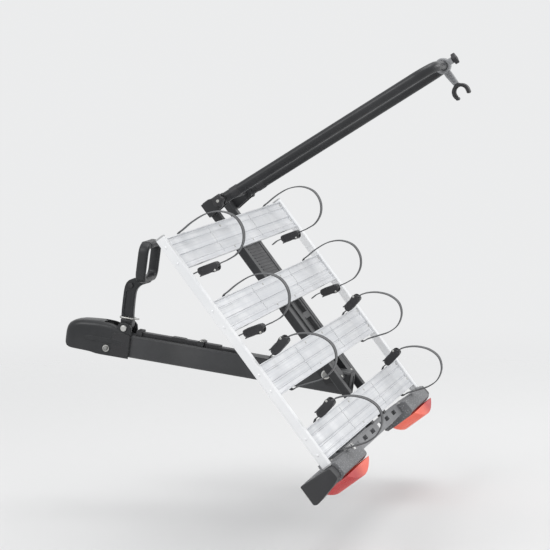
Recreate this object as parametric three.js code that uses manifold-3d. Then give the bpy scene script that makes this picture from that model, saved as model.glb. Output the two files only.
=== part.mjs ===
// Four-bicycle carrier for a tow ball: a coupler head and drawbar carry a platform of four wheel
// trays, which tilts rearward about a cross bolt. A hoop mast with a frame holder stands at the
// platform's front edge and a lamp board closes its rear edge. The platform is at its tilted stop.
// Millimetres. Origin: tow-ball centre. +X rearward, +Y to the carrier's right, +Z up.
import * as THREE from 'three';
import { mergeVertices } from 'three/addons/utils/BufferGeometryUtils.js';
import Module from 'manifold-3d';

// ---- driving dimensions -------------------------------------------------------------------
const DROOP = 7.7;                 // drawbar slope, degrees below level
const TILT = 52.63;                // platform slope at the tilted stop, degrees below level
const PIVOT = [702, 0, -51];       // tilt bolt centre
const PIVOT_V = 445, PIVOT_N = -49; // the same point in deck coordinates
const DECK_SHIFT = -80;            // tray centre line sits left of the drawbar line
const TRAY_PITCH = 190, TRAY_W = 88.7, TRAY_HALF = 590;
const RAIL_W = 22, RAIL_H = 22, RAIL_V0 = -50, RAIL_V1 = 626.5;
const BAR_W = 60, BAR_M0 = -5, BAR_M1 = 56.5, BAR_WALL = 3, BAR_S0 = 75.5, BAR_S1 = 765;
const HOOD_HALF = 37, BALL_R = 25.4;
const MEMBER_IN = 70, MEMBER_OUT = 100, MEMBER_TOP = -9.3, MEMBER_H = 21;
const MAST_R = 14, MAST_Y = 137, MAST_V = -88, MAST_N = 30, MAST_TOP = 690, MAST_LEAN = 5.2;
const STRAP_T = 3, STRAP_W = 22, STRAP_LEFT = -450, STRAP_RIGHT = 440;
const LAMP_OUT = 650, LAMP_CAP = 601, LAMP_IN = 325;

// ---- solids -------------------------------------------------------------------------------
const wasm = await Module();
wasm.setup();
const D = Math.PI / 180;

function toSolid(geometry) {
  let g = geometry.index ? geometry.toNonIndexed() : geometry.clone();
  g.deleteAttribute('normal'); g.deleteAttribute('uv');
  g = mergeVertices(g, 1e-4);
  return new wasm.Manifold(new wasm.Mesh({ numProp: 3,
    vertProperties: Float32Array.from(g.attributes.position.array),
    triVerts: Uint32Array.from(g.index.array) }));
}
function toGeometry(solid) {
  const m = solid.getMesh();
  const g = new THREE.BufferGeometry();
  g.setAttribute('position', new THREE.BufferAttribute(Float32Array.from(m.vertProperties), 3));
  g.setIndex(new THREE.BufferAttribute(Uint32Array.from(m.triVerts), 1));
  g.computeVertexNormals();
  return g;
}
const join = (first, ...rest) => toGeometry(rest.reduce((a, b) => a.add(toSolid(b)), toSolid(first)));
const cut = (first, ...rest) => toGeometry(rest.reduce((a, b) => a.subtract(toSolid(b)), toSolid(first)));

const box = (x0, x1, y0, y1, z0, z1) =>
  new THREE.BoxGeometry(x1 - x0, y1 - y0, z1 - z0).translate((x0 + x1) / 2, (y0 + y1) / 2, (z0 + z1) / 2);
// a polygon in the X-Z plane carried from y0 to y1, with optional holes
function prism(points, y0, y1, holes = []) {
  const shape = new THREE.Shape(points.map(p => new THREE.Vector2(p[0], p[1])));
  for (const h of holes) shape.holes.push(new THREE.Path(h.map(p => new THREE.Vector2(p[0], p[1]))));
  return new THREE.ExtrudeGeometry(shape, { depth: y1 - y0, bevelEnabled: false, steps: 1 })
    .rotateX(Math.PI / 2).translate(0, y1, 0);
}
// a polygon in the X-Y plane carried from z0 to z1
const slab = (points, z0, z1) =>
  new THREE.ExtrudeGeometry(new THREE.Shape(points.map(p => new THREE.Vector2(p[0], p[1]))),
    { depth: z1 - z0, bevelEnabled: false, steps: 1 }).translate(0, 0, z0);
// a polygon in the Y-Z plane carried from x0 to x1, with optional hole
function beam(outer, x0, x1, holes = []) {
  const shape = new THREE.Shape(outer.map(p => new THREE.Vector2(p[0], p[1])));
  for (const h of holes) shape.holes.push(new THREE.Path(h.map(p => new THREE.Vector2(p[0], p[1]))));
  const g = new THREE.ExtrudeGeometry(shape, { depth: x1 - x0, bevelEnabled: false, steps: 1 });
  // shape x -> Y, shape y -> Z, depth -> X
  g.applyMatrix4(new THREE.Matrix4().set(0, 0, 1, x0, 1, 0, 0, 0, 0, 1, 0, 0, 0, 0, 0, 1));
  return g;
}
const rect = (a0, a1, b0, b1, c = 0) => c === 0 ? [[a0, b0], [a1, b0], [a1, b1], [a0, b1]] :
  [[a0 + c, b0], [a1 - c, b0], [a1, b0 + c], [a1, b1 - c], [a1 - c, b1], [a0 + c, b1], [a0, b1 - c], [a0, b0 + c]];
const ring = (cx, cz, r, n, phase = 0) => Array.from({ length: n }, (_, i) => {
  const a = phase + i * 2 * Math.PI / n; return [cx + r * Math.cos(a), cz + r * Math.sin(a)];
});
const rodY = (x, z, r, y0, y1, n = 20) => prism(ring(x, z, r, n), y0, y1);
const rodZ = (x, y, r, z0, z1, n = 20) =>
  new THREE.CylinderGeometry(r, r, z1 - z0, n).rotateX(Math.PI / 2).translate(x, y, (z0 + z1) / 2);

// a band of thickness t along a path in the X-Z plane, with square ends
function band(path, t) {
  const L = [], R = [];
  path.forEach((p, i) => {
    const a = path[Math.max(0, i - 1)], b = path[Math.min(path.length - 1, i + 1)];
    const d = Math.hypot(b[0] - a[0], b[1] - a[1]), nx = -(b[1] - a[1]) / d, nz = (b[0] - a[0]) / d;
    L.push([p[0] + nx * t / 2, p[1] + nz * t / 2]); R.push([p[0] - nx * t / 2, p[1] - nz * t / 2]);
  });
  return L.concat(R.reverse());
}
function smooth(points, n) {
  const c = new THREE.CatmullRomCurve3(points.map(p => new THREE.Vector3(p[0], 0, p[1])), false, 'centripetal');
  return c.getSpacedPoints(n).map(p => [p.x, p.z]);
}
// ---- scene graph --------------------------------------------------------------------------
const object = new THREE.Group();
const drawbarLine = new THREE.Group();       // X along the drawbar, Z square to it
drawbarLine.rotation.y = DROOP * D;
object.add(drawbarLine);
const platform = new THREE.Group();          // turns about the tilt bolt
platform.position.set(...PIVOT); platform.rotation.y = TILT * D;
object.add(platform);
const deck = new THREE.Group();              // X across the trays, Z square to the tray floors
deck.position.set(-PIVOT_V, 0, -PIVOT_N);
platform.add(deck);
const trays = new THREE.Group(); trays.position.y = DECK_SHIFT; deck.add(trays);
const mast = new THREE.Group();              // Z along the mast's legs
mast.position.set(MAST_V, 0, MAST_N); mast.rotation.y = MAST_LEAN * D; deck.add(mast);

const steel = { color: 0x2b2c2e, roughness: 0.55, metalness: 0.4 };
const alu = { color: 0xd5d8db, roughness: 0.4, metalness: 0.85 };
const zinc = { color: 0xc4c4c2, roughness: 0.35, metalness: 0.9 };
const plastic = { color: 0x1f2021, roughness: 0.6, metalness: 0.0 };
const grey = { color: 0x7b7d80, roughness: 0.65, metalness: 0.0 };
const red = { color: 0xd8352b, roughness: 0.25, metalness: 0.0 };
const web = { color: 0x4a4b4d, roughness: 0.6, metalness: 0.0 };
function put(group, name, geometry, look) {
  const mesh = new THREE.Mesh(geometry, new THREE.MeshStandardMaterial(look));
  mesh.name = name; group.add(mesh); return mesh;
}

// ---- coupler head (in drawbar-line coordinates) ---------------------------------------------
{
  const side = [[-32, -2], [-39, 18], [-39, 48], [-29, 63], [-13, 72.5], [4, 77], [40, 81], [72, 82],
    [96, 80], [143, 64], [150, 60], [150, -8], [60, -8], [35, -4.5], [0, -3.5]];
  const LV = [128, 74];                     // lever pin centre
  const ear = (y0, y1) => prism([[104, 60], [152, 55], [146, 80], [138, 87], [118, 87], [110, 80]], y0, y1);
  let hood = join(prism(side, -HOOD_HALF, HOOD_HALF), ear(25, HOOD_HALF), ear(-HOOD_HALF, -25));
  hood = cut(hood,
    box(-30, 71, -30.3, 30.3, -20, 66),                       // room for the ball, cup and jaw
    box(70, 160, -30.3, 30.3, -20, 56.9),                     // saddle over the drawbar
    rodY(LV[0], LV[1], 14, -24.7, 24.7, 20),                  // room for the lever's eye
    prism([[102, 56], [150, 56], [150, 95], [20, 95], [30, 88], [102, 69.5]], -24.7, 24.7),
    rodY(LV[0], LV[1], 5.3, -40, 40, 16),                     // lever pin bore
    rodY(85, 11.5, 5.6, -50, 50, 16));                        // cross bolt bore
  put(drawbarLine, 'coupler_housing', hood, steel);

  const ballRoom = new THREE.IcosahedronGeometry(BALL_R * 1.012, 3);
  // the ball's centre is the origin of the drawbar line as well
  put(drawbarLine, 'ball_cup', cut(box(-29.6, 18, -29.9, 29.9, 3, 65.6), ballRoom), zinc);
  put(drawbarLine, 'clamp_jaw', cut(box(18.6, 52, -24, 24, -3, 40), ballRoom), zinc);

  const bolt = join(rodY(85, 11.5, 5.2, -46, 46, 16), rodY(85, 11.5, 9, -39, -37.3, 20), rodY(85, 11.5, 9, 37.3, 39, 20),
    prism(ring(85, 11.5, 8, 6), -45, -38.5), prism(ring(85, 11.5, 8, 6), 38.5, 45));
  put(drawbarLine, 'head_bolt', bolt, zinc);

  // clamp lever: eye, flat stem with a rearward jog, and a stirrup standing across the carrier
  const stem = prism([[112, 78], [144, 78], [141, 120], [140, 172], [150, 192], [178, 205], [178, 222], [150, 222],
    [140, 214], [118, 204], [108, 188], [107, 120]], -10, 10);
  const eye = rodY(LV[0], LV[1], 12.5, -23.5, 23.5, 20);
  const frameOuter = rect(-68, 68, 205, 320, 14), frameInner = rect(-52, 52, 225, 300, 9);
  const stirrup = beam(frameOuter, 150, 178, [frameInner]);
  const neck = prism([[112, 74], [144, 74], [143, 96], [110, 96]], -20, 20);
  let lever = join(stem, eye, neck, stirrup);
  lever = cut(lever, rodY(LV[0], LV[1], 5.3, -40, 40, 16));
  put(drawbarLine, 'clamp_lever', lever, steel);
  put(drawbarLine, 'lever_pin', join(rodY(LV[0], LV[1], 5, -41, 41, 16), rodY(LV[0], LV[1], 9, -41, -37.4, 20),
    rodY(LV[0], LV[1], 9, 37.4, 41, 20)), zinc);
}

// ---- drawbar and tilt release ---------------------------------------------------------------
{
  const half = BAR_W / 2;
  const tube = beam(rect(-half, half, BAR_M0, BAR_M1, 4), BAR_S0, BAR_S1,
    [rect(-half + BAR_WALL, half - BAR_WALL, BAR_M0 + BAR_WALL, BAR_M1 - BAR_WALL, 2)]);
  const s = 702.5, m = 43.5;
  put(drawbarLine, 'drawbar', cut(tube, rodY(s, m, 6.6, -50, 50, 20), rodY(85, 11.5, 5.6, -50, 50, 16)), steel);

  // flat release rod on the drawbar's top, with a pull tab in front and a catch nose behind
  const rod = join(
    prism([[172, 57.2], [398, 57.2], [398, 66.8], [300, 66.8], [294, 69], [262, 69], [256, 66.8], [172, 66.8]], -11, 11),
    box(160, 176, -18, 18, 57.2, 71),
    prism([[396, 57.2], [462, 57.2], [462, 75.8], [445, 75.8], [445, 71.6], [456, 71.6], [456, 62.4], [396, 62.4]], -14, 14));
  put(drawbarLine, 'release_rod', rod, plastic);
  // saddle on the drawbar that keeps the rod down
  put(drawbarLine, 'rod_guide', cut(box(336, 352, -20, 20, 56.8, 70.5), box(330, 360, -11.6, 11.6, 50, 67.6)), steel);
}

// ---- platform frame (deck coordinates) --------------------------------------------------------
{
  for (const [name, sgn] of [['frame_member_left', -1], ['frame_member_right', 1]]) {
    const y0 = sgn > 0 ? MEMBER_IN : -MEMBER_OUT, y1 = sgn > 0 ? MEMBER_OUT : -MEMBER_IN;
    put(deck, name, beam(rect(y0, y1, MEMBER_TOP - MEMBER_H, MEMBER_TOP, 2.5), -112, 621,
      [rect(y0 + 2.5, y1 - 2.5, MEMBER_TOP - MEMBER_H + 2.5, MEMBER_TOP - 2.5, 1)]), steel);
  }
  const pv = PIVOT_V, pn = PIVOT_N;
  for (const [name, sgn] of [['pivot_plate_left', -1], ['pivot_plate_right', 1]]) {
    const web0 = sgn > 0 ? 31 : -37, web1 = sgn > 0 ? 37 : -31;
    const fl0 = sgn > 0 ? 31 : -69.6, fl1 = sgn > 0 ? 69.6 : -31;
    const plate = prism([[408, -9.6], [482, -9.6], [482, -30], [466, -66], [424, -66], [408, -30]], web0, web1);
    put(deck, name, cut(join(plate, box(408, 482, fl0, fl1, -15.6, -9.6)), rodY(pv, pn, 6.6, -80, 80, 20)), steel);
  }
  const hex = (y0, y1) => prism(ring(pv, pn, 10.5, 6), y0, y1);
  put(deck, 'tilt_bolt', join(rodY(pv, pn, 6, -47, 47, 20), rodY(pv, pn, 12.5, -39.5, -37.4, 24), rodY(pv, pn, 12.5, 37.4, 39.5, 24),
    hex(-46, -39), hex(39, 46)), zinc);
  // infill plate behind tray 1, with the catch bar hung below its rear edge
  put(deck, 'infill_plate', join(box(28, 160, -69.6, 69.6, -16, -11), box(140, 196, -22, 22, -16, -11),
    box(176, 183.5, -22, -17, -29, -12), box(176, 183.5, 17, 22, -29, -12), box(176, 183.5, -22, 22, -29, -22.5)), plastic);
  put(deck, 'slotted_plate', cut(box(212, 352, -69.6, 69.6, -16, -11), box(234, 274, 0, 50, -30, 0), box(292, 336, 0, 50, -30, 0),
    box(234, 336, -54, -40, -30, 0)), steel);
}

// ---- side rails and trays ---------------------------------------------------------------------
{
  for (const [name, sgn] of [['side_rail_left', -1], ['side_rail_right', 1]]) {
    const u0 = sgn > 0 ? TRAY_HALF + 0.4 : -TRAY_HALF - 0.4 - RAIL_W, u1 = u0 + RAIL_W;
    put(trays, name, beam(rect(u0, u1, 2 - RAIL_H, 2, 2), RAIL_V0, RAIL_V1,
      [rect(u0 + 2, u1 - 2, 4 - RAIL_H, 0, 1)]), alu);
  }
  const h = TRAY_W / 2;
  const profile = [[-h, 2], [-h + 2.4, 2], [-h + 3.4, -4], [-25, -4], [-24, -6], [-21, -6], [-20, -4], [5.5, -4], [6.5, -7],
    [11, -7], [12, -4], [26, -4], [27, -2.5], [30, -2.5], [31, -4], [h - 3.4, -4], [h - 2.4, 2], [h, 2], [h, -8.6], [-h, -8.6]];
  for (let i = 0; i < 4; i++) {
    const tray = cut(prism(profile, -TRAY_HALF, TRAY_HALF), box(-36, 36, -212, -208, -6.4, 5), box(-36, 36, 208, 212, -6.4, 5));
    put(trays, 'wheel_tray_' + (i + 1), tray, alu).position.x = i * TRAY_PITCH;
  }
}

// ---- wheel straps and ratchet buckles -----------------------------------------------------------
{
  // each strap is a standing loop across its tray; its fixed end tucks under the tray floor
  const rearPath = [[-32, -11.6], [-44, -11.6], [-49.2, -8], [-49.8, 6], [-51, 40], [-45, 82], [-26, 115], [4, 134], [38, 132], [66, 112],
    [79, 82], [77, 52]];
  const frontPath = [[32, -11.6], [44, -11.6], [49.2, -8], [51, 6], [61, 36], [71, 68], [70, 100], [52, 128], [22, 141], [-10, 133],
    [-38, 110], [-55, 84], [-61.5, 66]];
  // buckle axes: lower end, upper end
  const rearAxis = [[56.5, -22], [72, 30]], frontAxis = [[-49.6, 8], [-59.5, 60]];
  const lerp = (a, b, t) => [a[0] + (b[0] - a[0]) * t, a[1] + (b[1] - a[1]) * t];
  for (let i = 0; i < 4; i++) {
    const rear = i < 2;
    const axis = rear ? rearAxis : frontAxis;
    const out = rear ? 1 : -1;                       // side of the tray the buckle hangs on
    const loop = smooth(rear ? rearPath : frontPath, 24);
    // straight run through the buckle, and the free tail below it
    const run = rear ? [lerp(axis[0], axis[1], 0.98), lerp(axis[0], axis[1], 0), [53, -40], [54, -56]]
      : [lerp(axis[0], axis[1], 0.98), lerp(axis[0], axis[1], 0), [-49.4, -5], [-45.5, -11.6], [-32, -11.6]];
    const path = loop.concat(run);
    for (const [tag, u] of [['left', STRAP_LEFT], ['right', STRAP_RIGHT]]) {
      const name = `_${i + 1}_${tag}`;
      put(trays, 'wheel_strap' + name, prism(band(path, STRAP_T), -STRAP_W / 2, STRAP_W / 2), web)
        .position.set(i * TRAY_PITCH, u, 0);
      // buckle: Z runs up the strap, X points away from the tray
      const holder = new THREE.Group();
      holder.position.set(i * TRAY_PITCH + axis[0][0], u, axis[0][1]);
      const lean = Math.atan2(axis[1][0] - axis[0][0], axis[1][1] - axis[0][1]);
      holder.rotation.y = lean;
      trays.add(holder);
      const flip = g => out > 0 ? g : g.rotateZ(Math.PI);
      const body = cut(join(
        prism([[-8, 1], [7, 1], [9, 6], [9, 47], [6, 51], [-6, 51], [-8, 47]], -16, 16),
        prism([[8, 34], [14, 37], [14, 47], [8, 50]], -16, -12.6), prism([[8, 34], [14, 37], [14, 47], [8, 50]], 12.6, 16)),
        box(-2.2, 2.2, -STRAP_W / 2 - 0.6, STRAP_W / 2 + 0.6, -10, 60));
      put(holder, 'buckle' + name, flip(body), plastic);
      const paddle = prism([[9.6, 3], [12.5, -1], [15, 0], [13.4, 8], [13.4, 38], [14.5, 43], [12.5, 46], [9.6, 44]], -12.2, 12.2);
      put(holder, 'buckle_lever' + name, flip(paddle), plastic);
    }
  }
}

// ---- mast -----------------------------------------------------------------------------------------
{
  const top = MAST_TOP - MAST_N, r = 60, y = MAST_Y;
  const pts = [];
  const leg = sgn => new THREE.Vector3(0, sgn * y, -16);
  pts.push(leg(-1), new THREE.Vector3(0, -y, top - r));
  for (let k = 1; k <= 5; k++) { const a = k * 15 * D; pts.push(new THREE.Vector3(0, -y + r * (1 - Math.cos(a)), top - r + r * Math.sin(a))); }
  pts.push(new THREE.Vector3(0, -y + r, top), new THREE.Vector3(0, y - r, top));
  for (let k = 5; k >= 1; k--) { const a = k * 15 * D; pts.push(new THREE.Vector3(0, y - r * (1 - Math.cos(a)), top - r + r * Math.sin(a))); }
  pts.push(new THREE.Vector3(0, y, top - r), leg(1));
  // swept along the polyline, one round section per point; the bore runs out of both feet
  const sweep = (line, r, n) => {
    const pos = [], idx = [];
    line.forEach((p, i) => {
      const a = line[Math.max(0, i - 1)], b = line[Math.min(line.length - 1, i + 1)];
      const t = new THREE.Vector3().subVectors(b, a).normalize(), e1 = new THREE.Vector3(1, 0, 0);
      const e2 = new THREE.Vector3().crossVectors(t, e1).normalize();
      for (let k = 0; k < n; k++) {
        const w = 2 * Math.PI * k / n;
        const q = p.clone().addScaledVector(e1, r * Math.cos(w)).addScaledVector(e2, r * Math.sin(w));
        pos.push(q.x, q.y, q.z);
      }
    });
    for (let i = 0; i + 1 < line.length; i++) for (let k = 0; k < n; k++) {
      const k2 = (k + 1) % n, a = i * n + k, b = i * n + k2, c = (i + 1) * n + k, d = (i + 1) * n + k2;
      idx.push(a, b, d, a, d, c);
    }
    const last = (line.length - 1) * n;
    for (let k = 1; k + 1 < n; k++) { idx.push(0, k + 1, k); idx.push(last, last + k, last + k + 1); }
    const g = new THREE.BufferGeometry();
    g.setAttribute('position', new THREE.BufferAttribute(new Float32Array(pos), 3)); g.setIndex(idx);
    return g;
  };
  const bore = pts.map(p => p.clone());
  bore[0].z -= 10; bore[bore.length - 1].z -= 10;
  const hoop = cut(sweep(pts, MAST_R, 14), sweep(bore, MAST_R - 2, 10));
  put(mast, 'mast_hoop', cut(hoop, rodY(0, 0, 5.4, -160, 160, 16)), steel);

  // hinge brackets carried by the frame members, and the pin through both legs with its clamp knobs
  for (const [name, sgn] of [['left', -1], ['right', 1]]) {
    const f = (a, b) => sgn > 0 ? [a, b] : [-b, -a];
    const [b0, b1] = f(100.4, 157), [e0, e1] = f(117, 122.4), [h0, h1] = f(151.6, 157);
    const cheek = (y0, y1) => prism([[-108, -20], [-68, -20], [-72, 38], [-80, 46], [-96, 46], [-104, 38]], y0, y1);
    put(deck, 'mast_bracket_' + name, cut(join(box(-108, -68, b0, b1, -20, -13), cheek(e0, e1), cheek(h0, h1)),
      rodY(MAST_V, MAST_N, 5.4, -170, 170, 16)), steel);
  }
  put(deck, 'mast_pin', join(rodY(MAST_V, MAST_N, 5, -163, 163, 16), prism(ring(MAST_V, MAST_N, 17, 10), 158, 178),
    prism(ring(MAST_V, MAST_N, 17, 10), -178, -158)), plastic);

  // frame holder on the crossbar: eye, arm and padded jaw, with its clamp knob
  const hy = 40;
  const eye = prism(ring(0, top, 21, 20), hy - 13, hy + 13, [ring(0, top, MAST_R + 0.5, 20)]);
  const arm = cut(join(eye, prism([[16, top - 9], [60, top - 2], [60, top + 12], [16, top + 9]], hy - 8, hy + 8)),
    rodY(0, top, MAST_R + 0.5, -80, 120, 20));
  put(mast, 'holder_arm', arm, plastic);
  const jaw = [];
  for (let k = 0; k <= 12; k++) { const a = (62 + k * 20) * D; jaw.push([84 + 20 * Math.cos(a), top + 5 + 20 * Math.sin(a)]); }
  put(mast, 'holder_jaw', join(prism(band(jaw.map(p => p), 7), hy - 14, hy + 14), box(60.4, 68, hy - 10, hy + 10, top - 4, top + 14)), plastic);
  put(mast, 'holder_knob', join(rodZ(0, hy, 5, top + 21.5, top + 34, 12), rodZ(0, hy, 15, top + 30, top + 44, 10)), plastic);
}

// ---- lamp board -------------------------------------------------------------------------------------
{
  const u = LAMP_IN;
  // channel with a flat rear face for the number plate, and slots along its top flange
  let board = beam([[-u + 0.5, -110], [u - 0.5, -110], [u - 0.5, -12], [-u + 0.5, -12]], 652, 656);
  board = join(board, box(622, 656, -u + 0.5, u - 0.5, -16, -12), box(622, 656, -u + 0.5, u - 0.5, -110, -106),
    box(622, 626, -u + 0.5, u - 0.5, -34, -12));
  board = cut(board, ...[-250, -150, -50, 50, 150, 250].map(y => box(632, 644, y - 22, y + 22, -20, 0)));
  put(trays, 'plate_board', board, grey);
  for (const [tag, sgn] of [['left', -1], ['right', 1]]) {
    const f = (a, b) => sgn > 0 ? [a, b] : [-b, -a];
    const [h0, h1] = f(LAMP_IN, LAMP_CAP), [c0, c1] = f(LAMP_CAP + 0.4, LAMP_OUT), [l0, l1] = f(LAMP_IN + 4, LAMP_CAP - 4);
    const shell = cut(prism([[628.5, -80], [629.5, 12], [668, 16], [674, 0], [674, -78], [668, -82]], h0, h1),
      prism([[632, -77], [633, 9], [690, 12], [690, -77]], h0 + 4, h1 - 4));
    put(trays, 'lamp_housing_' + tag, shell, grey);
    put(trays, 'lamp_cap_' + tag, prism([[629, -80], [633, 4], [664, 8], [672, -8], [688, -72], [684, -80]], c0, c1), plastic);
    const arc = [];
    for (let k = 0; k <= 10; k++) { const t = k / 10; arc.push([675 + 28 * Math.sin(Math.PI * t), l0 + (l1 - l0) * t]); }
    const inner = arc.slice(1, -1).map(([x, y]) => [x - 3.2, y]);
    put(trays, 'lamp_lens_' + tag, cut(slab([[674.5, l0], ...arc, [674.5, l1]], -60, 16),
      slab([[670, inner[0][1]], ...inner, [670, inner[inner.length - 1][1]]], -57, 13)), red);
  }
}

export default object;
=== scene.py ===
"""Tilting tow-ball bicycle carrier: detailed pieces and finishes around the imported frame.
Local shapes are in millimetres and are carried into the row frame (metres) by the matrices below."""
import math
import bpy
import bmesh
from mathutils import Matrix, Vector


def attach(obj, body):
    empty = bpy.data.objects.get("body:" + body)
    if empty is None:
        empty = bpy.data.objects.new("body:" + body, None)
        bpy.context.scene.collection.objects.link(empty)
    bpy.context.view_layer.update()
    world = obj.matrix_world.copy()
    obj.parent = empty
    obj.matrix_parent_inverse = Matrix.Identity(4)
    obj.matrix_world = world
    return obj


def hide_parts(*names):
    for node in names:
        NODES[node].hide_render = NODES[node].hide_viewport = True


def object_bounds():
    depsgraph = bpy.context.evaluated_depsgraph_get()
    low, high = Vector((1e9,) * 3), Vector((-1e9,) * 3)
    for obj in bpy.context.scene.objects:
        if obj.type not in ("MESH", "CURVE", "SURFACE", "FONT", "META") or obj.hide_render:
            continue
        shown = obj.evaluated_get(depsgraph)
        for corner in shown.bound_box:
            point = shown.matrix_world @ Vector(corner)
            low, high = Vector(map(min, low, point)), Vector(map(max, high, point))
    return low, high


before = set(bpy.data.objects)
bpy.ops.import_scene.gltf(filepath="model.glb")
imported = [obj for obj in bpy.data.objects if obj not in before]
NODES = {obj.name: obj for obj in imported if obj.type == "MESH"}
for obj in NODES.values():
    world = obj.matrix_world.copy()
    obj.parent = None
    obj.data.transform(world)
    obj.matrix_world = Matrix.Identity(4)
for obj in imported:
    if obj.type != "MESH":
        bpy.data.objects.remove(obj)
cad_lo, cad_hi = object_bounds()
D = math.pi / 180

# ---- frames ----------------------------------------------------------------------------------
def turn(deg, axis="Y"):
    return Matrix.Rotation(deg * D, 4, axis)


def shift(x, y, z):
    return Matrix.Translation((x, y, z))


MM = Matrix.Scale(0.001, 4)
ARM = MM @ turn(7.7)
DECK = MM @ shift(702, 0, -51) @ turn(52.63) @ shift(-445, 0, 49)
TRAY = DECK @ shift(0, -80, 0)
MAST = DECK @ shift(-88, 0, 30) @ turn(5.2)
TOP = 660.0
STRAPS = [(i, t, u) for i in range(4) for t, u in (("left", -450.0), ("right", 440.0))]
REAR_AXIS = ((56.5, -22.0), (72.0, 30.0))
FRONT_AXIS = ((-49.6, 8.0), (-59.5, 60.0))


def buckle_frame(i, u):
    axis = REAR_AXIS if i < 2 else FRONT_AXIS
    lean = math.atan2(axis[1][0] - axis[0][0], axis[1][1] - axis[0][1]) / D
    m = TRAY @ shift(i * 190 + axis[0][0], u, axis[0][1]) @ turn(lean)
    return m if i < 2 else m @ turn(180, "Z")


# ---- mesh helpers ------------------------------------------------------------------------------
AXES = {"y": lambda a, b, c: (a, c, b), "x": lambda a, b, c: (c, a, b), "z": lambda a, b, c: (a, b, c)}


def soften(bm, width, segments=2, angle=22):
    """Rounds every edge of bm that is sharper than angle."""
    if width <= 0:
        return bm
    bmesh.ops.recalc_face_normals(bm, faces=bm.faces[:])
    sharp = [e for e in bm.edges if len(e.link_faces) == 2 and e.calc_face_angle(0) > angle * D]
    if sharp:
        bmesh.ops.bevel(bm, geom=sharp, offset=width, offset_type="OFFSET", segments=segments, profile=0.5,
                        affect="EDGES", clamp_overlap=True)
    return bm


def prism(points, c0, c1, axis="y", bevel=0.0, segments=2, angle=22):
    """A polygon carried from c0 to c1 along axis."""
    bm = bmesh.new()
    put = AXES[axis]
    a = [bm.verts.new(put(p[0], p[1], c0)) for p in points]
    b = [bm.verts.new(put(p[0], p[1], c1)) for p in points]
    n = len(points)
    bm.faces.new(a)
    bm.faces.new(b[::-1])
    for i in range(n):
        j = (i + 1) % n
        bm.faces.new((a[i], b[i], b[j], a[j]))
    bmesh.ops.recalc_face_normals(bm, faces=bm.faces[:])
    return soften(bm, bevel, segments, angle)


def slab(x0, x1, y0, y1, z0, z1, bevel=0.0, segments=2):
    return prism([(x0, z0), (x1, z0), (x1, z1), (x0, z1)], y0, y1, "y", bevel, segments)


def lathe(profile, n=40, closed=False):
    """A profile of (radius, height) turned about Z."""
    bm = bmesh.new()
    rings = []
    for r, z in profile:
        if r < 1e-6:
            rings.append([bm.verts.new((0, 0, z))])
        else:
            rings.append([bm.verts.new((r * math.cos(2 * math.pi * k / n), r * math.sin(2 * math.pi * k / n), z))
                          for k in range(n)])
    pairs = list(zip(rings, rings[1:]))
    if closed:
        pairs.append((rings[-1], rings[0]))
    for a, b in pairs:
        for k in range(n):
            j = (k + 1) % n
            if len(a) == 1 and len(b) == 1:
                continue
            if len(a) == 1:
                bm.faces.new((a[0], b[k], b[j]))
            elif len(b) == 1:
                bm.faces.new((a[k], b[0], a[j]))
            else:
                bm.faces.new((a[k], b[k], b[j], a[j]))
    bmesh.ops.recalc_face_normals(bm, faces=bm.faces[:])
    return bm


def at(bm, matrix):
    bm.transform(matrix)
    return bm


def along_y(bm, x, y, z, flip=False):
    """Lays a piece turned about Z along Y, with its Z pointing to +Y, or to -Y if flip."""
    return at(bm, shift(x, y, z) @ turn(90 if flip else -90, "X"))


def sweep(path, side, section, closed=False, shape=None):
    """A section of (along side, square to side) carried along a planar path."""
    bm = bmesh.new()
    side = Vector(side).normalized()
    path = [Vector(p) for p in path]
    n, rings = len(path), []
    for i, p in enumerate(path):
        a = path[(i - 1) % n] if closed else path[max(0, i - 1)]
        b = path[(i + 1) % n] if closed else path[min(n - 1, i + 1)]
        normal = side.cross((b - a).normalized()).normalized()
        sec = shape(i, section) if shape else section
        rings.append([bm.verts.new(p + side * u + normal * w) for u, w in sec])
    m = len(section)
    for i in range(n if closed else n - 1):
        a, b = rings[i], rings[(i + 1) % n]
        for k in range(m):
            bm.faces.new((a[k], a[(k + 1) % m], b[(k + 1) % m], b[k]))
    if not closed:
        bm.faces.new(rings[0][::-1])
        bm.faces.new(rings[-1])
    bmesh.ops.recalc_face_normals(bm, faces=bm.faces[:])
    return bm


def oval(a, b, n=20, power=2.6):
    """A superellipse of half widths a and b."""
    out = []
    for k in range(n):
        w = 2 * math.pi * k / n
        c, s = math.cos(w), math.sin(w)
        out.append((a * math.copysign(abs(c) ** (2 / power), c), b * math.copysign(abs(s) ** (2 / power), s)))
    return out


def rounded(a0, a1, b0, b1, r, n=5):
    """A rectangle with round corners, as a closed list of points."""
    out = []
    for cx, cy, start in ((a1 - r, b1 - r, 0), (a0 + r, b1 - r, 90), (a0 + r, b0 + r, 180), (a1 - r, b0 + r, 270)):
        for k in range(n + 1):
            w = (start + 90 * k / n) * D
            out.append((cx + r * math.cos(w), cy + r * math.sin(w)))
    return out


def merged(*parts):
    out = bmesh.new()
    for b in parts:
        me = bpy.data.meshes.new("t")
        b.to_mesh(me)
        b.free()
        out.from_mesh(me)
        bpy.data.meshes.remove(me)
    return out


def _temp(bm, name):
    me = bpy.data.meshes.new(name)
    bm.to_mesh(me)
    bm.free()
    o = bpy.data.objects.new(name, me)
    bpy.context.collection.objects.link(o)
    return o


def _baked(o, *extra):
    bpy.context.view_layer.update()
    me = bpy.data.meshes.new_from_object(o.evaluated_get(bpy.context.evaluated_depsgraph_get()))
    out = bmesh.new()
    out.from_mesh(me)
    bpy.data.meshes.remove(me)
    for x in (o, *extra):
        data = x.data
        bpy.data.objects.remove(x)
        bpy.data.meshes.remove(data)
    return out


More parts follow.
